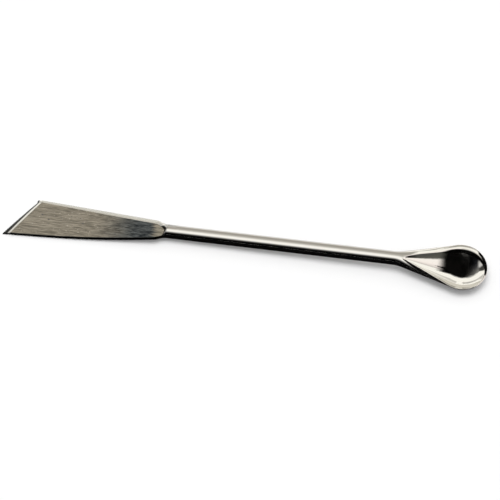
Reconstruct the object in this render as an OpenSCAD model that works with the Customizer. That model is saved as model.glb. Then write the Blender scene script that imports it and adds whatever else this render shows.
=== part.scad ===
// Lab spatula forged from one steel rod: skew-ended flat blade, round handle, teardrop scoop.
// Millimetres. X runs along the tool with the blade at -X, Z is up, and the tool lies on z = 0.

/* [Overall] */
// Length from the blade's point to the front of the scoop
overall_length = 140; // [125:1:170]

/* [Handle] */
// Diameter of the round handle
rod_d = 4; // [3.4:0.1:4.6]
// Gap under the handle at the blade's shoulder
rod_gap = 0.1; // [0.05:0.05:0.5]

/* [Blade] */
// Length of the blade from its point to the shoulder
blade_length = 47.5; // [36:0.5:58]
// Width of the blade at its end
blade_tip_w = 13.8; // [11:0.1:17]
// Width of the blade where the shoulder starts
blade_root_w = 6.65; // [5:0.05:7]
// How far each long edge bows out past a straight taper
blade_belly = 0.42; // [0:0.02:1]
// Thickness of the blade near its end
blade_tip_t = 0.9; // [0.7:0.05:1.3]
// Thickness of the blade where the shoulder starts
blade_root_t = 1.35; // [1:0.05:1.8]
// How far the skew end slants back along the tool
skew_length = 7.5; // [4:0.1:12]
// Width of the rounding along the long edge that ends at the far corner
far_round = 1; // [0.5:0.05:1.2]
// Width of the rounding along the long edge that ends at the blade's point
near_round = 0.4; // [0.3:0.05:0.8]
// How far the flat stretch on the bench runs on past the skew end
rest_margin = 4; // [0.6:0.1:6]

/* [Cutting edge] */
// Length of the ground facet along the tool, at the blade's point
facet_point_w = 1.5; // [0.6:0.05:2.5]
// Length of the ground facet along the tool, at the blade's far corner
facet_corner_w = 0.35; // [0.2:0.05:1]
// Length of the narrow bevel between the facet and the blade's top
bevel_w = 0.6; // [0.3:0.05:1]
// Thickness of the blade where facet and bevel meet
bevel_t = 0.6; // [0.3:0.05:0.65]
// Thickness of the finished edge
edge_t = 0.14; // [0.1:0.02:0.25]

/* [Shoulder] */
// Length of the pressed cove between the flat and the handle
shoulder_length = 3.8; // [3.2:0.1:5]
// How far the rounded end of the flat reaches towards the handle
shoulder_bulge = 2.6; // [1:0.1:2.8]

/* [Scoop] */
// Overall width of the scoop
scoop_w = 15.6; // [13:0.1:18]
// Reach of the rounded front past the scoop's widest place
front_reach = 7.25; // [6.5:0.05:9]
// Angle of each flank to the handle's axis
flank_angle = 18.5; // [18:0.1:24]
// Length over which the handle runs into the flanks
neck_blend = 2.5; // [2:0.1:5]
// How long the neck keeps the handle's height: 1 falls evenly to the rim, more falls later
crown_hold = 1.4; // [1:0.1:2]
// How far the rim lies below the handle's axis
rim_drop = 0.3; // [0:0.05:0.6]
// Height of the rounded land that the rim carries
rim_crown = 0.3; // [0.15:0.05:0.5]

/* [Bowl] */
// Width of the rim at each side of a bowl that lies in the middle
lip_side_w = 1.3; // [1.2:0.05:2]
// How far the bowl lies off the middle, towards the side of the blade's point
bowl_shift = 0.95; // [0:0.05:0.95]
// Width of the rim in front of the bowl
lip_front_w = 0.8; // [0.7:0.05:1.6]
// Depth of the bowl below the rim
bowl_depth = 2.3; // [1.8:0.05:2.8]
// Thickness of the metal under the bowl
bowl_floor = 0.5; // [0.4:0.05:0.9]
// Radius of the rounded point where the bowl starts
bowl_nose_r = 0.8; // [0.5:0.05:1.1]
// Depth of that point below the handle's top
bowl_start = 0.3; // [0.15:0.05:0.6]
// Distance from the scoop's front to the point where the bowl starts
bowl_length = 24; // [21:0.5:27]

/* [Hidden] */

// Facets: steps round an edge, across a face, round the scoop, and along each loft
edge_steps = 6;
face_steps = 8;
scoop_sides = 48;
blade_steps = 12;
cove_steps = 8;
neck_steps = 20;
front_steps = 14;
nose_steps = 6;
ball_steps = 24;
rod_sides = 96;
bowl_sides = 180;

// Lofts run this far into the handle, and this much thinner than it, so that the join is clean
join_length = 1;
join_share = 0.996;
join_tail = 0.9;

// Turn of the scoop's rounded front at which the last section closes it
front_turn = 86;

// Turn of the round handle, up and down from its side, that each long edge of the blade becomes
edge_turn = 60;

rod_r = rod_d / 2;
tip_x = -overall_length / 2;
front_x = overall_length / 2;
shoulder_x = tip_x + blade_length;
cove_foot_x = shoulder_x - shoulder_length;
rest_x = tip_x + skew_length + rest_margin;

// Plan of the scoop: an oval at the front with two flanks tangent to it
scoop_r = scoop_w / 2;
scoop_x = front_x - front_reach;
flank_slope = tan(flank_angle);
tangent_turn = atan(flank_slope * front_reach / scoop_r);
tangent_x = scoop_x - front_reach * sin(tangent_turn);
tangent_w = scoop_r * cos(tangent_turn);
flank_start_x = tangent_x - (tangent_w - rod_r) / flank_slope;
neck_x = flank_start_x - neck_blend / 2;
scoop_depth = bowl_depth + bowl_floor;
rim_z = scoop_depth;

// The handle rises from the shoulder to the neck, because the scoop is deeper than the blade
shoulder_z = rod_r + rod_gap;
neck_z = rim_z + rim_drop;
rise = (neck_z - shoulder_z) / (neck_x - shoulder_x);

// Fullness of the underside: half is an ellipse, more is flatter at the sides
round_power = 0.5;
dish_power = 0.75;

// The bowl is a large ball run out to a small one at the neck
bowl_r = scoop_r - lip_side_w;
bowl_x = front_x - lip_front_w - bowl_r;
ball_r = (bowl_r * bowl_r + bowl_depth * bowl_depth) / (2 * bowl_depth);
ball_z = rim_z - bowl_depth + ball_r;
nose_x = front_x - bowl_length + bowl_nose_r;
nose_z = neck_z + rod_r - bowl_start + bowl_nose_r;
ball_run = norm([bowl_x - nose_x, ball_z - nose_z]);
ball_tilt = atan2(ball_z - nose_z, bowl_x - nose_x);
ball_flare = asin((ball_r - bowl_nose_r) / ball_run);

function mix(a, b, t) = a + (b - a) * t;
function clamp01(t) = min(1, max(0, t));
function ease(t) = let (u = clamp01(t)) u * u * (3 - 2 * u);
function settle(t) = 1 - pow(1 - clamp01(t), 2);

// Blade outline and profile at a distance along the tool
function blade_run(x) = clamp01((x - tip_x) / (cove_foot_x - tip_x));
function blade_half_w(x) = let (u = blade_run(x))
    mix(blade_tip_w, blade_root_w, u) / 2 + blade_belly * 4 * u * (1 - u);
function blade_t(x) = mix(blade_tip_t, blade_root_t, blade_run(x));
function underside_z(x) = let (fall = settle((cove_foot_x - x) / (cove_foot_x - rest_x)))
    mix(shoulder_z - blade_root_t / 2, 0, fall);

// A blade section is two rounded edges and two flat faces: each entry is [face, place]
EDGE_FAR = 0;
FACE_TOP = 1;
EDGE_NEAR = 2;
FACE_UNDER = 3;
blade_ring = concat(
    [for (k = [0:edge_steps]) [EDGE_FAR, mix(-90, 90, k / edge_steps)]],
    [for (k = [1:face_steps - 1]) [FACE_TOP, mix(1, -1, k / face_steps)]],
    [for (k = [0:edge_steps]) [EDGE_NEAR, mix(90, -90, k / edge_steps)]],
    [for (k = [1:face_steps - 1]) [FACE_UNDER, mix(-1, 1, k / face_steps)]]
);

// Place across the blade, from -1 at the near edge to 1 at the far edge
function across(p) = p[0] == EDGE_FAR ? 1 : p[0] == EDGE_NEAR ? -1 : p[1];

// [y, z] of a ring point on a flat bar with rounded edges
function flat_point(p, half_w, half_t) = let (far_y = half_w - far_round, near_y = near_round - half_w)
    p[0] == EDGE_FAR ? [far_y + far_round * cos(p[1]), half_t * sin(p[1])] :
    p[0] == EDGE_NEAR ? [near_y - near_round * cos(p[1]), half_t * sin(p[1])] :
    [mix(near_y, far_y, (p[1] + 1) / 2), p[0] == FACE_TOP ? half_t : -half_t];

// [y, z] of the same ring point on a round bar
function round_point(p, radius) =
    let (turn = p[0] == EDGE_FAR ? p[1] * edge_turn / 90 :
                p[0] == EDGE_NEAR ? 180 - p[1] * edge_turn / 90 :
                p[0] == FACE_TOP ? 90 - p[1] * (90 - edge_turn) : p[1] * (90 - edge_turn) - 90)
    [radius * cos(turn), radius * sin(turn)];

// Ends of the flat, which run skew at the tip and bulge towards the handle at the shoulder
function skew_x(p) = tip_x + skew_length * (across(p) + 1) / 2;
function cove_x(p) = cove_foot_x + shoulder_bulge * (1 - across(p) * across(p));

// Where the facet and then the bevel of the cutting edge end
function facet_x(p) = skew_x(p) + mix(facet_point_w, facet_corner_w, (across(p) + 1) / 2);
function bevel_x(p) = facet_x(p) + bevel_w;

function blade_point(p, x, t) = let (q = flat_point(p, blade_half_w(x), t / 2))
    [x, q[0], underside_z(x) + t / 2 + q[1]];

// Section of the blade: run goes from 0 at the shoulder to 1 at the bevel
function blade_section(run) = [for (p = blade_ring)
    let (x = mix(cove_x(p), bevel_x(p), run)) blade_point(p, x, blade_t(x))];

// Section of the cove: run goes from 0 at the flat to 1 at the handle
function cove_section(run) = [for (p = blade_ring)
    let (x = mix(cove_x(p), shoulder_x, run), lift = ease(run),
         flat = flat_point(p, blade_half_w(x), blade_t(x) / 2),
         round = round_point(p, rod_r * join_share),
         mid_z = mix(underside_z(x) + blade_t(x) / 2, shoulder_z, lift))
    [x, mix(flat[0], round[0], lift), mid_z + mix(flat[1], round[1], lift)]];

function blade_tail() = [for (p = blade_ring) let (q = round_point(p, rod_r * join_tail))
    [shoulder_x + join_length, q[0], shoulder_z + rise * join_length + q[1]]];

// Half-width of the scoop behind its round front
function flank_half_w(x) = let (from_start = x - flank_start_x, reach = neck_blend / 2)
    abs(from_start) < reach ? rod_r + flank_slope * pow(from_start + reach, 2) / (4 * reach) :
    x < tangent_x ? max(rod_r, rod_r + flank_slope * from_start) :
    scoop_r * sqrt(1 - pow((x - scoop_x) / front_reach, 2));

// Scoop section: domed land above the rim's edge, dished underside below it
function scoop_section(x, half_w, edge_z, crown, depth, power) = [for (k = [0:scoop_sides - 1])
    let (turn = 360 * k / scoop_sides, up = sin(turn))
    [x, half_w * cos(turn), edge_z + (up > 0 ? crown * up : -depth * pow(-up, 2 * power))]];

// Section between the handle and the widest place: run goes from 0 at the handle to 1 there
function neck_section(run) =
    let (x = mix(neck_x, scoop_x, run), dish = ease(run), fade = ease(pow(run, crown_hold)),
         thin = mix(join_share, 1, clamp01(run * neck_steps)))
    scoop_section(x, flank_half_w(x) * thin, mix(neck_z, rim_z, dish),
        mix(rod_r, rim_crown, fade) * thin, mix(rod_r, scoop_depth, dish) * thin,
        mix(round_power, dish_power, dish));

// Section of the rounded front: turn goes from 0 at the widest place to front_turn at the front
function front_section(turn) = let (left = cos(turn))
    scoop_section(scoop_x + front_reach * sin(turn) / sin(front_turn), scoop_r * left, rim_z,
        rim_crown * left, scoop_depth * pow(left, 2 * dish_power), dish_power);

function neck_tail() = let (tail_r = rod_r * join_tail)
    scoop_section(neck_x - join_length, tail_r, neck_z - rise * join_length, tail_r, tail_r, round_power);

// Skin over a row of sections that run towards +X, each a ring that turns from +Y to +Z
module loft(sections) {
    sides = len(sections[0]);
    last = len(sections) - 1;
    points = [for (s = sections) each s];
    skin = [for (j = [0:last - 1], i = [0:sides - 1])
        let (a = j * sides + i, b = j * sides + (i + 1) % sides)
        each [[a, a + sides, b], [b, a + sides, b + sides]]];
    ends = [[for (i = [0:sides - 1]) i], [for (i = [sides - 1:-1:0]) last * sides + i]];
    polyhedron(points, concat(skin, ends), convexity = 6);
}

module blade() {
    loft(concat(
        [[for (p = blade_ring) blade_point(p, skew_x(p), edge_t)]],
        [[for (p = blade_ring) blade_point(p, facet_x(p), bevel_t)]],
        [for (k = [blade_steps:-1:1]) blade_section(k / blade_steps)],
        [for (k = [0:cove_steps]) cove_section(k / cove_steps)],
        [blade_tail()]
    ));
}

module rod() {
    translate([shoulder_x, 0, shoulder_z]) rotate([0, 90 - atan(rise), 0])
        cylinder(h = norm([neck_x - shoulder_x, neck_z - shoulder_z]), r = rod_r, $fn = rod_sides);
}

module scoop_blank() {
    loft(concat(
        [neck_tail()],
        [for (k = [0:neck_steps]) neck_section(k / neck_steps)],
        [for (k = [1:front_steps]) front_section(front_turn * k / front_steps)]
    ));
}

// Hollow of the scoop: two balls and the cone tangent to both, turned about the line between them
module bowl() {
    nose_arc = [for (k = [0:nose_steps]) let (turn = mix(-90, -ball_flare, k / nose_steps))
        [bowl_nose_r * cos(turn), bowl_nose_r * sin(turn)]];
    ball_arc = [for (k = [0:ball_steps]) let (turn = mix(-ball_flare, 90, k / ball_steps))
        [ball_r * cos(turn), ball_run + ball_r * sin(turn)]];
    translate([nose_x, -bowl_shift, nose_z]) rotate([0, 90 - ball_tilt, 0])
        rotate_extrude($fn = bowl_sides) polygon(concat(nose_arc, ball_arc));
}

module spatula() {
    color("silver") union() {
        blade();
        rod();
        difference() {
            scoop_blank();
            bowl();
        }
    }
}

spatula();
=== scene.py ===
# %% [markdown]
# # A steel lab spatula
# The tool is forged from one round rod: one end is pressed flat and ground into a skew blade, the other end
# is pressed into a teardrop scoop. There are no joints, so one mesh can carry the whole tool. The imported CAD
# part is loaded first. It is the fixed frame: its box is kept, and the tool made below has to stay inside it.

import math

import bmesh
import bpy
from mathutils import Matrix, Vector


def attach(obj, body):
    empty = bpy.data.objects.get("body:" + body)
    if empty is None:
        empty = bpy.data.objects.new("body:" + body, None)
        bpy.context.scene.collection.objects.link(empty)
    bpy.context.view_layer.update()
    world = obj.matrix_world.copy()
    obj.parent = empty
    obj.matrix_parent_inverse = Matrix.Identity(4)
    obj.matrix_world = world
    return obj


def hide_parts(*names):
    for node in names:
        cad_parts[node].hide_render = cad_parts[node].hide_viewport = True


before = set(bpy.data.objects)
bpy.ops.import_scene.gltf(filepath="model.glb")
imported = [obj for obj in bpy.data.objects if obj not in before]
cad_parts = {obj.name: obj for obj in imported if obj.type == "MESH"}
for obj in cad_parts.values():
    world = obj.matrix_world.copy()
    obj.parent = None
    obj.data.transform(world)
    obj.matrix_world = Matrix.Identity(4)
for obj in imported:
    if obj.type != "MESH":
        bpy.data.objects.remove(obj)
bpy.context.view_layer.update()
print("CAD nodes:", sorted(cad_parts))

# %% [markdown]
# ## The sizes
# The steel is polished like a mirror, and a mirror shows every facet, so the CAD's flat triangles are
# replaced by a finer skin. Most sizes are the ones that the CAD is built from, written in metres. A few small
# forms are finer than the CAD's: the step at the shoulder, the rounds of the long edges, the widths of the
# facet and the bevel, and the softened lip of the bowl. X runs along the tool from the blade to the scoop,
# and Z is up.

# %% Sizes of the tool
MM = 0.001

TIP_X, FRONT_X = -70 * MM, 70 * MM
ROD_R = 2 * MM
SHOULDER_X = TIP_X + 47.5 * MM
COVE_LENGTH, COVE_BULGE = 3.8 * MM, 2.6 * MM
COVE_X = SHOULDER_X - COVE_LENGTH
SHOULDER_Z = ROD_R + 0.1 * MM
STEP_X = SHOULDER_X - 0.9 * MM
FAR_CORNER, FAR_CORNER_POWER = 1.8 * MM, 5
NEAR_CORNER, NEAR_CORNER_POWER = 0.3 * MM, 2

BLADE_TIP_W, BLADE_ROOT_W, BLADE_BELLY = 13.8 * MM, 6.65 * MM, 0.42 * MM
BLADE_TIP_T, BLADE_ROOT_T = 0.9 * MM, 1.35 * MM
SKEW, NEAR_ROUND = 7.5 * MM, 0.25 * MM
FAR_ROUND, ROOT_FAR_ROUND = 1.0 * MM, 1.6 * MM
REST_X = TIP_X + SKEW + 4 * MM
FACET_POINT, FACET_CORNER, BEVEL = 1.5 * MM, 0.63 * MM, 0.85 * MM
EDGE_T, BEVEL_T = 0.14 * MM, 0.6 * MM

SCOOP_R, FRONT_REACH, BOWL_LENGTH = 7.8 * MM, 7.25 * MM, 24 * MM
SCOOP_X = FRONT_X - FRONT_REACH
FLANK_SLOPE = math.tan(math.radians(18.5))
NECK_BLEND, CROWN_HOLD = 2.5 * MM, 1.4
BOWL_DEPTH, BOWL_FLOOR, RIM_CROWN, RIM_DROP = 2.3 * MM, 0.5 * MM, 0.3 * MM, 0.3 * MM
SCOOP_DEPTH = BOWL_DEPTH + BOWL_FLOOR
RIM_Z = SCOOP_DEPTH
NECK_Z = RIM_Z + RIM_DROP

TANGENT = math.atan(FLANK_SLOPE * FRONT_REACH / SCOOP_R)
TANGENT_X = SCOOP_X - FRONT_REACH * math.sin(TANGENT)
FLANK_X = TANGENT_X - (SCOOP_R * math.cos(TANGENT) - ROD_R) / FLANK_SLOPE
NECK_X = FLANK_X - NECK_BLEND / 2
print("handle runs from", round(SHOULDER_X / MM, 1), "to", round(NECK_X / MM, 1), "mm")

# %% [markdown]
# ## Rings and bridges
# A forged bar is a row of cross-sections that change along its length. Each section starts here as a circle
# from `create_circle`, its points are moved to the section's outline, and `bridge_loops` joins each ring to
# the next. Every ring has the same number of points, and the same point is always the far side, so the
# lines along the tool run straight from the cutting edge to the scoop.

# %% Helpers for rings
RING = 160
HALF, QUARTER = RING // 2, RING // 4
# The honed faces and the foot of the step get painted shade, and the stoned faces a painted highlight.
POLISHED, GROUND, HONED_SHADED, STONED_HIGHLIGHT, STEP_SHADE = 0, 1, 2, 3, 4


def mix(a, b, t):
    return a + (b - a) * t


def clamp(t):
    return min(1.0, max(0.0, t))


def ease(t):
    t = clamp(t)
    return t * t * (3 - 2 * t)


def ring_from(bm, points):
    """A circle whose points are moved to a section's outline."""
    verts = bmesh.ops.create_circle(bm, cap_ends=False, radius=MM, segments=RING)["verts"]
    for vert, point in zip(verts, points):
        vert.co = point
    return verts


def bridge(bm, one, two):
    """Faces between two rings."""
    edges = [bm.edges.get((ring[i - 1], ring[i])) for ring in (one, two) for i in range(RING)]
    return bmesh.ops.bridge_loops(bm, edges=edges)["faces"]


spatula_bm = bmesh.new()
place = spatula_bm.verts.layers.int.new("place")


def loft(sections, finish_of):
    """Bridges a row of sections; finish_of gives the material of a face from its places round the ring."""
    rings = [ring_from(spatula_bm, points) for points in sections]
    for ring in rings:
        for k, vert in enumerate(ring):
            vert[place] = k
    for one, two in zip(rings, rings[1:]):
        for face in bridge(spatula_bm, one, two):
            face.material_index = finish_of([vert[place] for vert in face.verts])
            face.smooth = True
    return rings


# %% [markdown]
# ## The blade
# The blade is a flat bar with two rounded long edges. Every section of it has the same points in the same
# order: the far edge first, then over the top to the near edge, and back underneath. Each point gets its
# place on the bar once, and all the sections below start from these places.

# %% Places round the bar
EDGE_STEPS = 12
FACE_STEPS = HALF - 2 * EDGE_STEPS


def ring_place(k):
    """Where a point lies on the bar: (turn of the long edge or None, place across, side of the bar)."""
    side = 1 if k <= HALF else -1
    k = k if k <= HALF else RING - k
    if k <= EDGE_STEPS:
        return side * 90 * k / EDGE_STEPS, 1.0, side
    if k >= HALF - EDGE_STEPS:
        return side * 90 * (HALF - k) / EDGE_STEPS, -1.0, side
    return None, 1 - 2 * (k - EDGE_STEPS) / FACE_STEPS, side


PLACES = [ring_place(k) for k in range(RING)]
print("places round the bar:", len(PLACES))

# %% [markdown]
# ### The flat bar
# The bar was pressed out of the rod, so it is narrowest and thickest at the shoulder. Its long edges bulge
# a little, the round on the far edge grows towards the shoulder, and the underside comes down to the bench
# in a slow curve. A box with a bevel could start such a bar, but it would still have to be bent to all
# these curves. Here width, thickness and underside are functions of X, so a section can be asked for
# anywhere.

# %% Flat bar


def blade_run(x):
    return clamp((x - TIP_X) / (COVE_X - TIP_X))


def blade_half_w(x):
    u = blade_run(x)
    return mix(BLADE_TIP_W, BLADE_ROOT_W, u) / 2 + BLADE_BELLY * 4 * u * (1 - u)


def root_half_w(x):
    """Half the width of the bar, which narrows to the handle beside the step at the shoulder."""
    return mix(blade_half_w(x), ROD_R, ease((x - COVE_X) / COVE_LENGTH))


def blade_t(x):
    return mix(BLADE_TIP_T, BLADE_ROOT_T, blade_run(x))


def underside_z(x):
    fall = 1 - (1 - clamp((COVE_X - x) / (COVE_X - REST_X))) ** 2
    return mix(SHOULDER_Z - BLADE_ROOT_T / 2, 0, fall)


def flat_point(at, x):
    """A point of the flat bar's section at x, from the middle of the bar, as (y, z)."""
    turn, across, side = at
    half_w, half_t = root_half_w(x), blade_t(x) / 2
    far_round = mix(FAR_ROUND, ROOT_FAR_ROUND, ease(blade_run(x)))
    far_y, near_y = half_w - far_round, NEAR_ROUND - half_w
    if turn is None:
        return mix(near_y, far_y, (across + 1) / 2), side * half_t
    a = math.radians(turn)
    if across > 0:
        return far_y + far_round * math.cos(a), half_t * math.sin(a)
    return near_y - NEAR_ROUND * math.cos(a), half_t * math.sin(a)


def blade_point(at, x, t):
    y, z = flat_point(at, x)
    return Vector((x, y, underside_z(x) + t / 2 + z * t / blade_t(x)))


print("bar:", round(2 * blade_half_w(TIP_X) / MM, 2), "mm wide at the end,",
      round(2 * blade_half_w(COVE_X) / MM, 2), "mm at the shoulder")

# %% [markdown]
# ### The skew end
# The end is cut skew and ground twice: a steep facet, wide at the point and narrow at the far corner, and a
# narrow bevel behind it. A bevel modifier would make the ground faces equally wide everywhere, so their
# rings are placed one by one. Two rings close together hold each ground corner crisp, the way a support
# loop does.

# %% Skew end
FACET_RUNS, BEVEL_RUNS = (0, 0.06, 0.5, 0.95, 1), (1, 1.08, 1.5, 1.92, 2)


def skew_x(at):
    return TIP_X + SKEW * (at[1] + 1) / 2


def facet_x(at):
    return skew_x(at) + mix(FACET_POINT, FACET_CORNER, (at[1] + 1) / 2)


def end_section(run):
    """Sections of the ground end: 0 is the cutting edge, 1 the end of the facet, 2 the end of the bevel."""
    points = []
    for at in PLACES:
        edge = blade_point(at, skew_x(at), EDGE_T)
        facet = blade_point(at, facet_x(at), BEVEL_T)
        bevel_x = facet_x(at) + BEVEL
        bevel = blade_point(at, bevel_x, blade_t(bevel_x))
        points.append(edge.lerp(facet, run) if run <= 1 else facet.lerp(bevel, run - 1))
    return points


cutting_line = [blade_point(at, skew_x(at), 0) + Vector((0, 0, EDGE_T / 2)) for at in PLACES]
# The facet gets painted shade and the bevel a painted highlight.
facet_rings = loft([cutting_line] + [end_section(run) for run in FACET_RUNS], lambda places: HONED_SHADED)
bevel_rings = loft([end_section(run) for run in BEVEL_RUNS], lambda places: STONED_HIGHLIGHT)
print("skew end:", len(facet_rings), "rings on the facet,", len(bevel_rings), "on the bevel")

# %% [markdown]
# ### The ground flat
# Behind the bevel the flat runs up to the shoulder. There it stops at a step with a blunt, round end, where
# the grinding wheel was lifted off. The rings start along the skew end and turn bit by bit into the curve
# of that step. The far long edge is stoned and carries a painted highlight, and the near one is honed and
# carries painted shade, so the faces there get other finishes than the flat.

# %% Ground flat
BLADE_RUNS = [0, 0.004, 0.02] + [k / 40 for k in range(2, 40)] + [0.985, 0.995, 1]


def flat_end_x(at):
    """Where the flat ends: on top a step with a round far corner, underneath an even curve."""
    turn, across, side = at
    if across > 0:
        top = STEP_X - FAR_CORNER * across ** FAR_CORNER_POWER
    else:
        top = STEP_X - NEAR_CORNER * across ** NEAR_CORNER_POWER
    under = COVE_X + COVE_BULGE * (1 - across ** 2)
    if turn is None:
        return top if side > 0 else under
    return mix(under, top, (turn + 90) / 180)


def blade_section(run):
    """Sections of the flat: 0 is the bevel, 1 the foot of the cove at the shoulder."""
    points = []
    for at in PLACES:
        x = mix(facet_x(at) + BEVEL, flat_end_x(at), run)
        points.append(blade_point(at, x, blade_t(x)))
    return points


def blade_finish(places):
    """Stoned far edge with a painted highlight, honed near edge with painted shade; the rest is ground."""
    if all(k <= EDGE_STEPS or k >= RING - EDGE_STEPS for k in places):
        return STONED_HIGHLIGHT
    return HONED_SHADED if all(abs(k - HALF) <= EDGE_STEPS for k in places) else GROUND


blade_rings = loft([blade_section(run) for run in BLADE_RUNS], blade_finish)
print("flat:", len(blade_rings), "rings")

# %% [markdown]
# ### The cove
# From the step a short cove leads up to the round handle. Its sections change from the flat bar to a
# circle, so each point also needs its place on the circle. The foot of the step is painted nearly black:
# painted shade in the crease where the flat meets the step.

# %% Cove at the shoulder
EDGE_TURN = 60
COVE_STEPS, STEP_STEPS = 16, 8
# The painted shade at the foot of the step stops this many points short of the near side.
STEP_SHADE_INSET = EDGE_STEPS // 4


def round_turn(at):
    """Where the same point sits on the round handle, in degrees from the far side."""
    turn, across, side = at
    if turn is None:
        return side * 90 - side * across * (90 - EDGE_TURN)
    return turn * EDGE_TURN / 90 if across > 0 else 180 - turn * EDGE_TURN / 90


def cove_section(run):
    """Sections of the pressed cove: 0 is the flat, 1 the round handle."""
    points = []
    for at in PLACES:
        x, lift = mix(flat_end_x(at), SHOULDER_X, run), ease(run)
        flat_y, flat_z = flat_point(at, x)
        a = math.radians(round_turn(at))
        mid_z = mix(underside_z(x) + blade_t(x) / 2, SHOULDER_Z, lift)
        points.append(Vector((x, mix(flat_y, root_half_w(x) * math.cos(a), lift),
                              mid_z + mix(flat_z, ROD_R * math.sin(a), lift))))
    return points


def cove_finish(places):
    """The stoned far edge, with its painted highlight, runs into the handle; the rest is polished."""
    return STONED_HIGHLIGHT if blade_finish(places) == STONED_HIGHLIGHT else POLISHED


def step_finish(places):
    """The foot of the step gets painted shade on top, in the crease where the flat meets the step."""
    dark = all(EDGE_STEPS < k < HALF - STEP_SHADE_INSET for k in places)
    return STEP_SHADE if dark else cove_finish(places)


cove_sections = [cove_section(k / COVE_STEPS) for k in range(COVE_STEPS + 1)]
step_rings = loft(cove_sections[:STEP_STEPS + 1], step_finish)
cove_rings = loft(cove_sections[STEP_STEPS:], cove_finish)
print("cove:", len(step_rings), "rings on the step,", len(cove_rings), "above it")

# %% [markdown]
# ## The scoop
# The scoop runs out of the round handle: its section changes from a circle to a shallow dish with a rounded
# rim. Seen from above it is a teardrop, with straight flanks and a round front. Its top is first worked out
# as a whole land, as if no bowl were pressed into it.

# %% Land of the scoop


def flank_half_w(x):
    past, reach = x - FLANK_X, NECK_BLEND / 2
    if abs(past) < reach:
        return ROD_R + FLANK_SLOPE * (past + reach) ** 2 / (4 * reach)
    if x < TANGENT_X:
        return ROD_R + FLANK_SLOPE * max(0, past)
    return SCOOP_R * math.sqrt(max(0, 1 - ((x - SCOOP_X) / FRONT_REACH) ** 2))


def neck_share(x):
    return clamp((x - NECK_X) / (SCOOP_X - NECK_X))


def land_z(x, y):
    """Height of the rounded land round the bowl, as if no bowl were pressed into it."""
    share, half_w = neck_share(x), flank_half_w(x)
    crown = mix(ROD_R, RIM_CROWN, ease(share ** CROWN_HOLD))
    if x > SCOOP_X:
        crown *= half_w / SCOOP_R
    dome = math.sqrt(max(0, 1 - (y / half_w) ** 2)) if half_w > 0 else 0
    return mix(NECK_Z, RIM_Z, ease(share)) + crown * dome


print("scoop:", round(2 * flank_half_w(SCOOP_X) / MM, 1), "mm wide, land",
      round(land_z(SCOOP_X, 0) / MM, 2), "mm high")

# %% [markdown]
# ### The bowl
# The bowl is pressed into the land a little off its middle. It could be cut with a Boolean, but that leaves
# a ragged row of small faces right where the polished rim catches the light. Here the bowl is part of each
# section instead. A ball that grows from the neck to the front gives its depth, and its far wall is opened
# a little.

# %% Bowl
LIP_SIDE, LIP_FRONT = 1.3 * MM, 0.8 * MM
BOWL_SHIFT, BOWL_START = 0.95 * MM, 0.3 * MM
BOWL_R = SCOOP_R - LIP_SIDE
BOWL_X = FRONT_X - LIP_FRONT - BOWL_R
BALL_R = (BOWL_R ** 2 + BOWL_DEPTH ** 2) / (2 * BOWL_DEPTH)
NOSE_R = 0.8 * MM
NOSE = Vector((FRONT_X - BOWL_LENGTH + NOSE_R, -BOWL_SHIFT, NECK_Z + ROD_R - BOWL_START + NOSE_R))
BALL = Vector((BOWL_X, -BOWL_SHIFT, RIM_Z - BOWL_DEPTH + BALL_R))
BALL_SHARES = [k / 120 for k in range(121)]
BALLS = [(NOSE.lerp(BALL, share), mix(NOSE_R, BALL_R, share)) for share in BALL_SHARES]
FAR_LIP_OPEN = 0.3 * MM


def lip_far(y):
    """How far round the bowl a point lies: 0 on the near lip, 1 on the far one."""
    return ease((y + BOWL_SHIFT) / BOWL_R)


def bowl_z(x, y):
    """Height of the bowl's surface: the lowest of the balls that the bowl is pressed with."""
    lowest = math.inf
    off = y + BOWL_SHIFT
    off *= BOWL_R / (BOWL_R + FAR_LIP_OPEN * lip_far(y))
    for centre, radius in BALLS:
        inside = radius ** 2 - (x - centre.x) ** 2 - off ** 2
        if inside > 0:
            lowest = min(lowest, centre.z - math.sqrt(inside))
    return lowest


print("bowl:", round(2 * BOWL_R / MM, 1), "mm wide, bottom at",
      round(bowl_z(BOWL_X, -BOWL_SHIFT) / MM, 2), "mm")

# %% [markdown]
# ### Sections of the scoop
# The lower of land and bowl is kept, with a little rounding where they meet: that is the lip. It catches
# the light, so the points of a section are closest together there. A search by halves finds the lip, and a
# narrow band round it gets many of the points. Underneath, the section changes from a half circle to a
# shallow dish.

# %% Scoop sections
FAR_LIP_ROUND, NEAR_LIP_ROUND = 0.6 * MM, 0.12 * MM
SPLIT_MIN, BAND, BAND_SHARE = 0.3 * MM, 0.6 * MM, 0.45
LAND_STEPS, BAND_STEPS, SEARCH_STEPS = 10, 14, 30
ROUND_POWER, DISH_POWER = 0.5, 0.75
SCOOP_STATIONS = 84


def soft_min(a, b, width):
    h = max(width - abs(a - b), 0) / width
    return min(a, b) - h * h * width / 4


def skin_z(point, rounding):
    return soft_min(land_z(point.x, point.y), bowl_z(point.x, point.y), rounding)


def top_profile(rim, pole):
    """Points over the top from the outer rim to the bowl's middle, closest together on the bowl's lip."""
    reach = (rim - pole).length
    low, high = 0.0, reach
    for _ in range(SEARCH_STEPS):
        middle = (low + high) / 2
        at = pole.lerp(rim, middle / reach)
        low, high = (middle, high) if bowl_z(at.x, at.y) < land_z(at.x, at.y) else (low, middle)
    split = max(low, SPLIT_MIN)
    band = min(BAND, split / 2, (reach - split) * BAND_SHARE)
    turn = math.acos((split + band) / reach)
    off = [reach * math.cos(turn * k / LAND_STEPS) for k in range(LAND_STEPS)]
    off += [mix(split + band, split - band, k / BAND_STEPS) for k in range(BAND_STEPS)]
    left = QUARTER - LAND_STEPS - BAND_STEPS
    off += [mix(split - band, 0, k / left) for k in range(left + 1)]
    lip = pole.lerp(rim, split / reach)
    rounding = mix(NEAR_LIP_ROUND, FAR_LIP_ROUND, lip_far(lip.y) * neck_share(lip.x))
    points = [pole.lerp(rim, distance / reach) for distance in off]
    return [Vector((at.x, at.y, skin_z(at, rounding))) for at in points]


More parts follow.
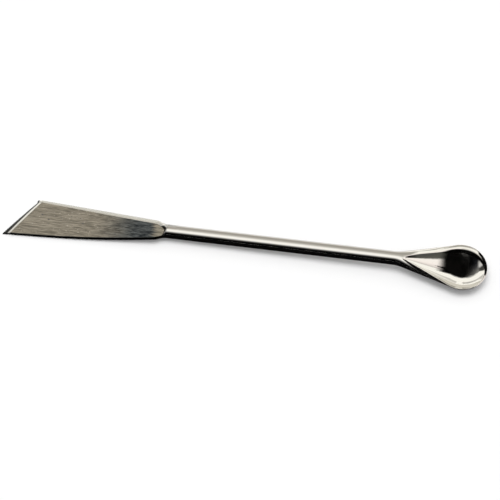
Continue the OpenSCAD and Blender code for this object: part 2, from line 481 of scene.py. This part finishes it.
def under_profile(rim, x, depth, power):
    """Points under the scoop from just inside the rim to the middle of the underside."""
    middle = Vector((x, 0))
    points = []
    for k in range(1, QUARTER + 1):
        a = math.pi / 2 * k / QUARTER
        at = middle.lerp(rim, math.cos(a))
        points.append(Vector((at.x, at.y, land_z(rim.x, rim.y) - depth * math.sin(a) ** (2 * power))))
    return points


def scoop_section(x):
    dish, half_w = ease(neck_share(x)), flank_half_w(x)
    pole = Vector((x, -BOWL_SHIFT))
    far, near = Vector((x, half_w)), Vector((x, -half_w))
    depth, power = mix(ROD_R, SCOOP_DEPTH, dish), mix(ROUND_POWER, DISH_POWER, dish)
    over = top_profile(far, pole) + top_profile(near, pole)[-2::-1]
    return over + under_profile(near, x, depth, power) + under_profile(far, x, depth, power)[-2::-1]


scoop_sections = [scoop_section(mix(NECK_X, SCOOP_X, k / SCOOP_STATIONS)) for k in range(SCOOP_STATIONS + 1)]
scoop_rings = loft(scoop_sections, lambda places: POLISHED)
print("scoop:", len(scoop_rings), "rings")

# %% [markdown]
# ## The round front of the scoop
# From its widest place on, the scoop is one half-section swung round from the far side to the near one.
# `spin` would do that for a true circle. This front is an oval with the bowl a little off its middle, so the
# far half of the last ring is extruded in steps instead, and each step's points are set on the section at
# that turn. The last step lands on the near half of the ring.

# %% Swing the front
FRONT_STEPS = 72
last = scoop_rings[-1]
chain = [last[k % RING] for k in range(HALF + QUARTER, RING + QUARTER + 1)]
chain_edges = [spatula_bm.edges.get((a, b)) for a, b in zip(chain, chain[1:])]
points_before = len(spatula_bm.verts)
for step in range(1, FRONT_STEPS + 1):
    turn = math.pi * step / FRONT_STEPS
    rim = Vector((SCOOP_X + FRONT_REACH * math.sin(turn), SCOOP_R * math.cos(turn)))
    over = top_profile(rim, Vector((SCOOP_X, -BOWL_SHIFT)))
    under = under_profile(rim, SCOOP_X, SCOOP_DEPTH, DISH_POWER)
    grown = bmesh.ops.extrude_edge_only(spatula_bm, edges=chain_edges)["geom"]
    chain_edges = [item for item in grown if isinstance(item, bmesh.types.BMEdge)]
    for vert in (item for item in grown if isinstance(item, bmesh.types.BMVert)):
        k = vert[place]
        vert.co = over[k] if k <= QUARTER else under[RING - k - 1]
    for face in (item for item in grown if isinstance(item, bmesh.types.BMFace)):
        face.smooth = True
print("front:", len(spatula_bm.verts) - points_before, "points")

# %% [markdown]
# ## The handle
# The handle is the plain rod that both ends were forged from. It is a straight cylinder, but the points of
# the blade's ring and of the scoop's ring are spread differently round it, so the rings between them slide
# from the one spread to the other. On a cylinder that changes nothing that can be seen.

# %% Handle rings
ROD_STATIONS = 24
blade_turns = [math.radians(round_turn(at)) for at in PLACES]
neck_turns = [math.atan2(point.z - NECK_Z, point.y) for point in scoop_sections[0]]
for k in range(RING):
    if neck_turns[k] - blade_turns[k] > math.pi:
        neck_turns[k] -= 2 * math.pi
    if neck_turns[k] - blade_turns[k] < -math.pi:
        neck_turns[k] += 2 * math.pi


def rod_section(run):
    x, mid_z = mix(SHOULDER_X, NECK_X, run), mix(SHOULDER_Z, NECK_Z, run)
    turns = [mix(a, b, run) for a, b in zip(blade_turns, neck_turns)]
    return [Vector((x, ROD_R * math.cos(a), mid_z + ROD_R * math.sin(a))) for a in turns]


rod_rings = loft([rod_section(k / ROD_STATIONS) for k in range(ROD_STATIONS + 1)], lambda places: POLISHED)
print("handle:", len(rod_rings), "rings")

# %% [markdown]
# ## One closed skin
# The parts of the skin end on the same points where they meet. Merging those points closes the skin. Bridging
# and extruding don't settle which way a face looks, so the normals are recalculated afterwards.

# %% Close the skin
MERGE_GAP, SHORTEST_EDGE = 0.002 * MM, 0.0005 * MM
bmesh.ops.remove_doubles(spatula_bm, verts=spatula_bm.verts, dist=MERGE_GAP)
bmesh.ops.dissolve_degenerate(spatula_bm, dist=SHORTEST_EDGE, edges=spatula_bm.edges)
bmesh.ops.recalc_face_normals(spatula_bm, faces=spatula_bm.faces)
open_edges = sum(not edge.is_manifold for edge in spatula_bm.edges)
spatula_mesh = bpy.data.meshes.new("spatula_skin")
spatula_bm.to_mesh(spatula_mesh)
print("skin:", len(spatula_mesh.polygons), "faces,", open_edges, "open edges, volume",
      round(spatula_bm.calc_volume(signed=True) * 1e9, 1), "mm3")
spatula_bm.free()
spatula = bpy.data.objects.new("spatula_skin", spatula_mesh)
bpy.context.scene.collection.objects.link(spatula)
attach(spatula, "root")
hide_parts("spatula")

# %% [markdown]
# ## Finishes
# All of the tool is the same steel, but it was finished in five ways, and that is what tells its parts apart.
# The handle and the scoop are buffed to a mirror. The flat of the blade is ground along its length, which
# leaves fine scratches that blur what it reflects. The steep facet and the near long edge are honed, and their
# colour is nearly black: painted shade. The bevel and the far long edge are stoned to a satin, and their
# colour
# is lighter than the polished steel: a painted highlight. The foot of the step is painted nearly black:
# painted shade in the crease where the flat meets the step. Each effect is a node group, so that the materials
# can share it. They all read Object coordinates, in metres, so the marks keep their real size whatever the
# camera does.

# %% Node group helpers


def new_group(name, outputs, **inputs):
    """An empty node group with float inputs (name=default) and float outputs."""
    tree = bpy.data.node_groups.new(name, "ShaderNodeTree")
    for label, default in inputs.items():
        socket = tree.interface.new_socket(label, in_out="INPUT", socket_type="NodeSocketFloat")
        socket.default_value = default
    for label in outputs:
        tree.interface.new_socket(label, in_out="OUTPUT", socket_type="NodeSocketFloat")
    return tree, tree.nodes.new("NodeGroupInput"), tree.nodes.new("NodeGroupOutput")


def stretched_noise(tree, scale, detail, roughness=0.6):
    """Noise over the object's own coordinates; scale is in marks per metre along X, Y and Z."""
    place_node = tree.nodes.new("ShaderNodeTexCoord")
    stretch = tree.nodes.new("ShaderNodeVectorMath")
    stretch.operation = "MULTIPLY"
    stretch.inputs[1].default_value = scale
    tree.links.new(place_node.outputs["Object"], stretch.inputs[0])
    noise = tree.nodes.new("ShaderNodeTexNoise")
    noise.inputs["Scale"].default_value = 1.0
    noise.inputs["Detail"].default_value = detail
    noise.inputs["Roughness"].default_value = roughness
    tree.links.new(stretch.outputs[0], noise.inputs["Vector"])
    return noise.outputs["Fac"]


def remap(tree, value, low, high, new_low=0.0, new_high=1.0):
    """A smooth step from one level to another."""
    node = tree.nodes.new("ShaderNodeMapRange")
    node.interpolation_type = "SMOOTHSTEP"
    for label, number in (("From Min", low), ("From Max", high), ("To Min", new_low), ("To Max", new_high)):
        node.inputs[label].default_value = number
    tree.links.new(value, node.inputs["Value"])
    return node.outputs["Result"]


def combine(tree, operation, a, b=0.0):
    """One arithmetic node; a and b are sockets or plain numbers."""
    node = tree.nodes.new("ShaderNodeMath")
    node.operation = operation
    for socket, value in zip(node.inputs, (a, b)):
        if isinstance(value, (int, float)):
            socket.default_value = value
        else:
            tree.links.new(value, socket)
    return node.outputs[0]


# %% [markdown]
# ### Scratches
# A grinding belt leaves two sizes of scratch, a few long coarse ones and many fine ones. A picture of
# scratches would need a UV map and would blur from close by, so both are noise that is stretched along X.
# Added together they give the height. With some broad patches between them they give the tone.

# %% Lengthwise grain
FINE_MARKS, COARSE_MARKS, PATCH_MARKS = (420, 6200, 6200), (130, 4600, 4600), (90, 700, 700)
FINE_SHARE, COARSE_SHARE, PATCH_SHARE = 0.45, 0.4, 0.15
TONE_RANGE = (0.41, 0.59)

grain, grain_in, grain_out = new_group("lengthwise_grain", ["Height", "Tone"], Coarse=0.5)
fine_lines = stretched_noise(grain, FINE_MARKS, detail=3.0)
coarse_lines = stretched_noise(grain, COARSE_MARKS, detail=3.0)
deep_lines = combine(grain, "MULTIPLY", coarse_lines, grain_in.outputs["Coarse"])
grain.links.new(combine(grain, "ADD", fine_lines, deep_lines), grain_out.inputs["Height"])
patches = stretched_noise(grain, PATCH_MARKS, detail=2.0)
tone = combine(grain, "MULTIPLY", coarse_lines, COARSE_SHARE)
for marks, share in ((patches, PATCH_SHARE), (fine_lines, FINE_SHARE)):
    tone = combine(grain, "ADD", tone, combine(grain, "MULTIPLY", marks, share))
grain.links.new(remap(grain, tone, *TONE_RANGE), grain_out.inputs["Tone"])
print("node group:", grain.name)

# %% [markdown]
# ### Specks
# Dust and small pits stay on the flat. They could be placed one by one, but noise of one size with
# everything but its peaks cut away scatters them over the whole blade at once.

# %% Specks
LIGHT_SPECK_MARKS, LIGHT_PEAKS = (1500, 1900, 1900), (0.69, 0.77)
DARK_SPECK_MARKS, DARK_PEAKS = (1300, 1300, 1300), (0.8, 0.86)

specks, _, specks_out = new_group("specks", ["Light", "Dark"])
light_peaks = stretched_noise(specks, LIGHT_SPECK_MARKS, detail=1.0)
dark_peaks = stretched_noise(specks, DARK_SPECK_MARKS, detail=0.0)
specks.links.new(remap(specks, light_peaks, *LIGHT_PEAKS), specks_out.inputs["Light"])
specks.links.new(remap(specks, dark_peaks, *DARK_PEAKS), specks_out.inputs["Dark"])
print("node group:", specks.name)

# %% [markdown]
# ### Heat tint
# Heat has blued the blade near its shoulder. A gradient texture would give a straight band, so this group
# is a band along X whose borders waver with a slow noise. It comes up slowly from the middle of the blade
# and ends quickly before the shoulder.

# %% Heat tint
TINT_RISE, TINT_FALL = (-45 * MM, -31 * MM), (-25 * MM, -27 * MM)
WAVER_MARKS, WAVER = (150, 900, 900), 5 * MM


def object_axes(tree):
    """The object's own coordinates, one output for each axis."""
    place_node = tree.nodes.new("ShaderNodeTexCoord")
    axes_node = tree.nodes.new("ShaderNodeSeparateXYZ")
    tree.links.new(place_node.outputs["Object"], axes_node.inputs["Vector"])
    return axes_node.outputs


tint, _, tint_out = new_group("heat_tint", ["Share"])
sway = combine(tint, "SUBTRACT", stretched_noise(tint, WAVER_MARKS, detail=2.0), 0.5)
along = combine(tint, "ADD", object_axes(tint)["X"], combine(tint, "MULTIPLY", sway, WAVER))
band = combine(tint, "MULTIPLY", remap(tint, along, *TINT_RISE), remap(tint, along, *TINT_FALL))
tint.links.new(band, tint_out.inputs["Share"])
print("node group:", tint.name)

# %% [markdown]
# ### Polish
# The buffing wheel leaves a surface that is very smooth but not quite true. A plain mirror would look too
# perfect, so this group adds a faint swell and a little haze.

# %% Buffed swell
SWELL_MARKS, HAZE_MARKS = (900, 700, 700), (700, 2500, 2500)

polish, _, polish_out = new_group("buffed_swell", ["Height", "Haze"])
polish.links.new(stretched_noise(polish, SWELL_MARKS, detail=2.0), polish_out.inputs["Height"])
polish.links.new(stretched_noise(polish, HAZE_MARKS, detail=3.0), polish_out.inputs["Haze"])
print("node group:", polish.name)

# %% [markdown]
# ## Polished steel
# Steel is a metal, so its colour is the colour of its reflections: a slightly warm grey. The haze goes into
# the roughness. The swell goes through a Bump node, which tilts the reflections and leaves the mesh alone.
# The materials are added in the order of the finishes' numbers, because a face finds its material by that
# number.

# %% Polished steel
POLISHED_COLOUR = (0.62, 0.6, 0.56)
BUFFED_ROUGH, HAZE_RANGE = (0.04, 0.09), (0.3, 0.8)
SWELL_DEPTH = 0.012 * MM


def steel(name, colour):
    """A metal in the next material slot of the skin."""
    material = bpy.data.materials.new(name)
    material.use_nodes = True
    shader = material.node_tree.nodes["Principled BSDF"]
    shader.inputs["Base Color"].default_value = (*colour, 1)
    shader.inputs["Metallic"].default_value = 1.0
    spatula_mesh.materials.append(material)
    return material.node_tree, shader


def use_group(tree, group):
    """The outputs of a node group inside a material."""
    node = tree.nodes.new("ShaderNodeGroup")
    node.node_tree = group
    return node.outputs


def vary_roughness(tree, shader, share, rough, span=(0.0, 1.0)):
    """Roughness that goes from the first value of rough to the second while share crosses the span."""
    tree.links.new(remap(tree, share, *span, *rough), shader.inputs["Roughness"])


def add_bump(tree, shader, height, depth):
    """Height is 0 to 1; depth is how deep the marks are, in metres."""
    bump = tree.nodes.new("ShaderNodeBump")
    bump.inputs["Strength"].default_value = 1.0
    bump.inputs["Distance"].default_value = depth
    tree.links.new(height, bump.inputs["Height"])
    tree.links.new(bump.outputs["Normal"], shader.inputs["Normal"])


def polished_steel():
    """The mirror of the handle and the scoop."""
    tree, shader = steel("polished_steel", POLISHED_COLOUR)
    buffed = use_group(tree, polish)
    vary_roughness(tree, shader, buffed["Haze"], BUFFED_ROUGH, HAZE_RANGE)
    add_bump(tree, shader, buffed["Height"], SWELL_DEPTH)


polished_steel()
print("material:", spatula_mesh.materials[POLISHED].name)

# %% [markdown]
# ## Ground steel
# The flat of the blade is darker and warmer than the polished steel, because its scratches scatter part of
# the light. Its tone goes from dark to light with the scratches, and the specks lie on top. The blued end
# has two darker tones of its own.

# %% Ground blade
GROUND_COLOUR, GROUND_TONES = (0.62, 0.57, 0.49), ((0.25, 0.23, 0.19), (0.6, 0.555, 0.465))
BLUED_TONES = ((0.015, 0.021, 0.027), (0.22, 0.243, 0.25))
LIGHT_SPECK, DARK_SPECK = (0.85, 0.8, 0.72), (0.16, 0.16, 0.17)
GROUND_ROUGH, SCRATCH_DEPTH = (0.16, 0.1), 0.03 * MM


def mix_colour(tree, share, one, two):
    """A colour mix; one and two are sockets or (r, g, b)."""
    node = tree.nodes.new("ShaderNodeMix")
    node.data_type = "RGBA"
    tree.links.new(share, node.inputs["Factor"])
    for socket, value in ((node.inputs["A"], one), (node.inputs["B"], two)):
        if isinstance(value, tuple):
            socket.default_value = (*value, 1)
        else:
            tree.links.new(value, socket)
    return node.outputs["Result"]


def ground_blade():
    """The flat of the blade: scratched, a little dusty and blued at one end."""
    tree, shader = steel("ground_blade", GROUND_COLOUR)
    scratches, dust, heat = use_group(tree, grain), use_group(tree, specks), use_group(tree, tint)
    colour = mix_colour(tree, scratches["Tone"], *GROUND_TONES)
    colour = mix_colour(tree, dust["Light"], colour, LIGHT_SPECK)
    colour = mix_colour(tree, dust["Dark"], colour, DARK_SPECK)
    blued = mix_colour(tree, scratches["Tone"], *BLUED_TONES)
    tree.links.new(mix_colour(tree, heat["Share"], colour, blued), shader.inputs["Base Color"])
    vary_roughness(tree, shader, scratches["Tone"], GROUND_ROUGH)
    add_bump(tree, shader, scratches["Height"], SCRATCH_DEPTH)


ground_blade()
print("material:", spatula_mesh.materials[GROUND].name)

# %% [markdown]
# ## Edges and the foot of the step
# The edges and the foot of the step are narrow, so a plain colour and a roughness that varies are enough
# for them. The honed faces are painted dark as shade, the stoned ones carry a painted highlight and are
# the brightest of the tool, and the foot of the step is dull and painted nearly black as shade.

# %% Edges and the painted shade at the step
# The honed colour is painted shade, the stoned colour a painted highlight, and the colour of the step's foot
# painted shade.
HONED_SHADE_COLOUR, HONED_ROUGH = (0.06, 0.06, 0.058), (0.2, 0.12)
STONED_HIGHLIGHT_COLOUR, STONED_ROUGH = (0.9, 0.88, 0.82), (0.3, 0.16)
STEP_SHADE_COLOUR, STEP_SHADE_ROUGH = (0.03, 0.028, 0.026), (0.55, 0.3)


def worked_steel(name, colour, group, output, rough):
    """A plain finish whose roughness alone follows a group."""
    tree, shader = steel(name, colour)
    vary_roughness(tree, shader, use_group(tree, group)[output], rough)


# Painted shade on the honed faces, a painted highlight on the stoned ones, painted shade at the foot of the
# step.
worked_steel("honed_edge_painted_shade", HONED_SHADE_COLOUR, grain, "Tone", HONED_ROUGH)
worked_steel("stoned_edge_painted_highlight", STONED_HIGHLIGHT_COLOUR, grain, "Tone", STONED_ROUGH)
worked_steel("step_painted_shade", STEP_SHADE_COLOUR, specks, "Light", STEP_SHADE_ROUGH)
print("materials:", [material.name for material in spatula_mesh.materials])

# %% [markdown]
# ## The floor
# The tool lies on a plain white sheet. It is a wide grid, so that no edge of it comes into the picture, and
# it has no gloss of its own: all it shows is the soft shadow that the tool throws. The light on it is kept at
# a plain level, at which the sheet alone would come out a shade under white nearly everywhere. A trace of
# glow, for the camera and for reflections only, lifts it the rest of the way and leaves the shadow in place.

# %% Floor
FLOOR_SIZE, FLOOR_LEVEL, FLOOR_LIFT = 6.0, 0.95, 0.05


def stage_plane(name, size_x, size_y, location, material, rotation=(0, 0, 0)):
    """A flat card or floor that belongs to the studio and not to the tool."""
    plane_bm = bmesh.new()
    bmesh.ops.create_grid(plane_bm, x_segments=1, y_segments=1, size=0.5)
    bmesh.ops.scale(plane_bm, verts=plane_bm.verts, vec=(size_x, size_y, 1))
    mesh = bpy.data.meshes.new(name)
    plane_bm.to_mesh(mesh)
    plane_bm.free()
    mesh.materials.append(material)
    plane = bpy.data.objects.new(name, mesh)
    plane.location, plane.rotation_euler = location, rotation
    bpy.context.scene.collection.objects.link(plane)
    return plane


def matt(name, level):
    """A grey without any gloss, and its node tree and shader."""
    material = bpy.data.materials.new(name)
    material.use_nodes = True
    shader = material.node_tree.nodes["Principled BSDF"]
    shader.inputs["Base Color"].default_value = (level, level, level, 1)
    shader.inputs["Roughness"].default_value = 1.0
    shader.inputs["Specular IOR Level"].default_value = 0.0
    return material, material.node_tree, shader


floor_material, floor_tree, floor_shader = matt("pale_floor", FLOOR_LEVEL)
floor_ray = floor_tree.nodes.new("ShaderNodeLightPath").outputs
seen = combine(floor_tree, "MAXIMUM", floor_ray["Is Camera Ray"], floor_ray["Is Glossy Ray"])
lift = combine(floor_tree, "MULTIPLY", seen, FLOOR_LIFT)
floor_tree.links.new(lift, floor_shader.inputs["Emission Strength"])
floor_shader.inputs["Emission Color"].default_value = (1, 1, 1, 1)
floor = stage_plane("floor", FLOOR_SIZE, FLOOR_SIZE, (0, 0, 0), floor_material)
print("floor:", floor.name)

# %% [markdown]
# ## What the mirror sees
# A mirror shows only its surroundings, so most of the look of this tool is in the room round it. The room
# has five walls from far left to right. Each is a row of tones that goes over the tool from the horizon
# behind it to the one in front. The middle wall has a pale low strip, a grey wall, a white panel overhead
# and then the dark front of the room, and that row draws the streaks along the handle. The wall over the
# blade is a plainer grey, the one to its left goes nearly black overhead, and the one on the right has a
# bright window.

# %% Walls of the room
FAR_LEFT_WALL = [
    (0, (0.8, 0.8, 0.78)), (20, (0.7, 0.7, 0.68)), (32, (0.06, 0.06, 0.05)), (62, (0.05, 0.05, 0.05)),
    (72, (0.7, 0.7, 0.7)), (130, (0.6, 0.6, 0.6)), (153, (0.02, 0.02, 0.02)),
]
LEFT_WALL = [
    (0, (0.75, 0.74, 0.7)), (12, (0.6, 0.59, 0.56)), (24, (0.28, 0.28, 0.27)), (60, (0.28, 0.28, 0.27)),
    (75, (0.12, 0.12, 0.13)), (90, (0.02, 0.022, 0.028)), (120, (0.04, 0.042, 0.05)), (153, (0, 0, 0)),
]
OVERHEAD_PANEL = [
    (93, (1, 1, 0.98)), (119, (1, 1, 0.98)), (126, (0.6, 0.6, 0.6)), (138, (0.1, 0.1, 0.1)), (153, (0, 0, 0)),
]
BLADE_WALL = [
    (0, (0.3, 0.3, 0.29)), (14, (0.4, 0.4, 0.38)), (24, (0.5, 0.5, 0.48)), (36, (0.5, 0.5, 0.48)),
    (47, (0.38, 0.36, 0.33)), (60, (0.38, 0.36, 0.33)), (77, (0.5, 0.48, 0.45)),
] + OVERHEAD_PANEL
MIDDLE_WALL = [
    (0, (0.9, 0.9, 0.88)), (9, (0.5, 0.49, 0.46)), (36, (0.34, 0.33, 0.3)), (60, (0.42, 0.41, 0.38)),
    (77, (0.6, 0.59, 0.57)),
] + OVERHEAD_PANEL
RIGHT_WALL = [
    (0, (0.95, 0.95, 0.92)), (8, (0.85, 0.84, 0.8)), (20, (0.5, 0.49, 0.46)), (33, (0.38, 0.37, 0.35)),
    (44, (0.48, 0.46, 0.45)), (58, (0.85, 0.8, 0.78)), (70, (1, 0.95, 0.93)), (91, (1, 0.97, 0.95)),
    (98, (0.11, 0.11, 0.1)), (153, (0.02, 0.02, 0.02)),
]
NEXT_WALLS = [
    ((-0.78, -0.7), LEFT_WALL), ((-0.38, -0.31), BLADE_WALL),
    ((-0.18, -0.14), MIDDLE_WALL), ((0.03, 0.12), RIGHT_WALL),
]

print("walls:", 1 + len(NEXT_WALLS))

# %% [markdown]
# ### The room as a background
# A photographed room could be wrapped round the scene, but a few rows of tones are easier to steer. The
# world background is painted by direction: the turn over the tool runs through each wall's colour ramp, and
# the share of the direction along X mixes one wall into the next. Matt surfaces are lit by an even grey
# instead, so that the shadow is soft on all sides.

# %% Room
ROOM_STRENGTH, EVEN_LIGHT = 1.5, (0.43, 0.43, 0.43)

world = bpy.data.worlds.new("studio")
bpy.context.scene.world = world
world.use_nodes = True
sky = world.node_tree
direction = sky.nodes.new("ShaderNodeTexCoord")
axes = sky.nodes.new("ShaderNodeSeparateXYZ")
sky.links.new(direction.outputs["Generated"], axes.inputs["Vector"])
turn_over = combine(sky, "ARCTAN2", axes.outputs["Z"], axes.outputs["Y"])
half_turn = combine(sky, "DIVIDE", turn_over, math.pi)


def wall(stops):
    """A row of tones over the tool; each stop is (degrees from the horizon behind it, colour)."""
    ramp = sky.nodes.new("ShaderNodeValToRGB")
    while len(ramp.color_ramp.elements) < len(stops):
        ramp.color_ramp.elements.new(0.5)
    for element, (degrees, colour) in zip(ramp.color_ramp.elements, stops):
        element.position = degrees / 180
        element.color = (*colour, 1)
    sky.links.new(half_turn, ramp.inputs["Fac"])
    return ramp.outputs["Color"]


room = wall(FAR_LEFT_WALL)
for border, stops in NEXT_WALLS:
    room = mix_colour(sky, remap(sky, axes.outputs["X"], *border), room, wall(stops))
sky_ray = sky.nodes.new("ShaderNodeLightPath").outputs
room = mix_colour(sky, sky_ray["Is Diffuse Ray"], room, EVEN_LIGHT)
sky.links.new(room, sky.nodes["Background"].inputs["Color"])
sky.nodes["Background"].inputs["Strength"].default_value = ROOM_STRENGTH
print("room:", world.name, "with", len(sky.nodes), "nodes")

# %% [markdown]
# ## The lamp
# One soft lamp hangs nearly overhead, so the shadow stays close to the tool. It is hidden from reflections,
# because the room's white panel already draws the bright streak along the handle.

# %% Lamp
LAMP_SIZE, LAMP_POWER, LAMP_PLACE = (0.4, 0.3), 1.15, Vector((0, 0.04, 0.5))

lamp_data = bpy.data.lights.new("overhead", "AREA")
lamp_data.shape = "RECTANGLE"
lamp_data.size, lamp_data.size_y = LAMP_SIZE
lamp_data.energy = LAMP_POWER
lamp = bpy.data.objects.new("overhead", lamp_data)
bpy.context.scene.collection.objects.link(lamp)
lamp.location = LAMP_PLACE
lamp.rotation_euler = (-LAMP_PLACE).to_track_quat("-Z", "Y").to_euler()
lamp.visible_glossy = False
print("lamp:", lamp.name, LAMP_POWER, "W")

# %% [markdown]
# ## Cards
# Cards do the rest, as they do when a photographer lights polished steel, and they show up in reflections
# only. The front card lies on the floor and gives the lower half of the handle its deep black. The back
# card and the tip card shade the edges of the blade. The bowl is a hollow mirror that gathers its
# reflections near one point, so one small card over it fills it with black. The other cards stand round the
# scoop: the dark ones shade its neck, its nose and its end, and the glowing ones light its lips and its
# near wall.

# %% Cards
CARD_LEVEL, CARD_GLOW, LIT = 0.004, (1, 1, 0.96, 1), 1.5
UPRIGHT = (math.radians(90), 0, 0)
ALONG_SKEW = (0, 0, math.atan2(BLADE_TIP_W, SKEW))
ALONG_FAR_EDGE = (0, 0, math.radians(-5.7))


def card(name, size, centre, glow=0.0, fade=None, turn=(0, 0, 0)):
    """A card, black unless it glows; size, centre and fade (the soft borders) are in millimetres."""
    material, tree, shader = matt(name, CARD_LEVEL)
    shader.inputs["Emission Color"].default_value = CARD_GLOW
    shader.inputs["Emission Strength"].default_value = glow
    size_x, size_y = (length * MM for length in size)
    if fade:
        own_axes = object_axes(tree)
        shares = []
        for axis, length, border in (("X", size_x, fade[0] * MM), ("Y", size_y, fade[1] * MM)):
            off = combine(tree, "ABSOLUTE", own_axes[axis])
            shares.append(remap(tree, off, length / 2, length / 2 - border))
        tree.links.new(combine(tree, "MULTIPLY", *shares), shader.inputs["Alpha"])
    plane = stage_plane(name, size_x, size_y, Vector(centre) * MM, material, turn)
    plane.visible_camera = plane.visible_diffuse = plane.visible_shadow = False
    return plane


cards = [
    card("front_card", size=(400, 400), centre=(0, -200.5, 0.1)),
    card("back_card", size=(46, 12), centre=(-44, 12.5, 0.05), glow=0.55, turn=ALONG_FAR_EDGE),
    card("tip_card", size=(17, 1.6), centre=(-67.1, 0.5, 0.05), turn=ALONG_SKEW),
    card("bowl_card", size=(13, 6), centre=(65.5, 3.9, 8), fade=(3.5, 1.2)),
    card("neck_card", size=(13, 15.7), centre=(51.5, -10.1, 14)),
    card("nose_card", size=(14, 15.7), centre=(65, -10.1, 14), glow=0.12),
    card("lip_card", size=(20, 8.5), centre=(59, 10.5, 10.2), glow=LIT, fade=(2, 1.5), turn=UPRIGHT),
    card("end_card", size=(14, 18), centre=(74.5, 10.4, 14), fade=(1, 1), turn=UPRIGHT),
    card("low_lip_card", size=(22, 10), centre=(55, 30, 6), glow=LIT, fade=(2, 2), turn=UPRIGHT),
    card("low_back_card", size=(13.5, 36), centre=(65.2, 60, 18), glow=LIT, fade=(2, 2), turn=UPRIGHT),
    card("high_back_card", size=(24, 10.5), centre=(62, 20, 20.8), glow=LIT, fade=(2, 2), turn=UPRIGHT),
]
print("cards:", [plane.name for plane in cards])

# %% [markdown]
# ## The camera
# The camera looks down on the tool from in front, a little round to the right, with a long lens from half a
# metre away. A long lens keeps the near and the far end at nearly the same scale. Its focal length is worked
# out from the number of pixels that one metre at a distance of one metre takes up in the picture.

# %% Camera
CAMERA_ELEVATION, CAMERA_YAW = math.radians(55.0), math.radians(8.803)
CAMERA_AIM, CAMERA_DISTANCE = Vector((1.916 * MM, -1.432 * MM, 0)), 508 * MM
SENSOR_WIDTH, PICTURE_PIXELS, FOCAL_PIXELS = 36, 500, 1758.86
CLIP_NEAR, CLIP_FAR = 0.01, 20

out = math.cos(CAMERA_ELEVATION)
back = Vector((math.sin(CAMERA_YAW) * out, -math.cos(CAMERA_YAW) * out, math.sin(CAMERA_ELEVATION)))
camera_data = bpy.data.cameras.new("camera")
camera_data.sensor_width = SENSOR_WIDTH
camera_data.lens = SENSOR_WIDTH * FOCAL_PIXELS / PICTURE_PIXELS
camera_data.clip_start, camera_data.clip_end = CLIP_NEAR, CLIP_FAR
camera = bpy.data.objects.new("camera", camera_data)
bpy.context.scene.collection.objects.link(camera)
camera.location = CAMERA_AIM + back * CAMERA_DISTANCE
camera.rotation_euler = (-back).to_track_quat("-Z", "Y").to_euler()
bpy.context.scene.camera = camera
bpy.context.scene.view_settings.view_transform = "Standard"
print("camera lens in mm:", round(camera_data.lens, 1))
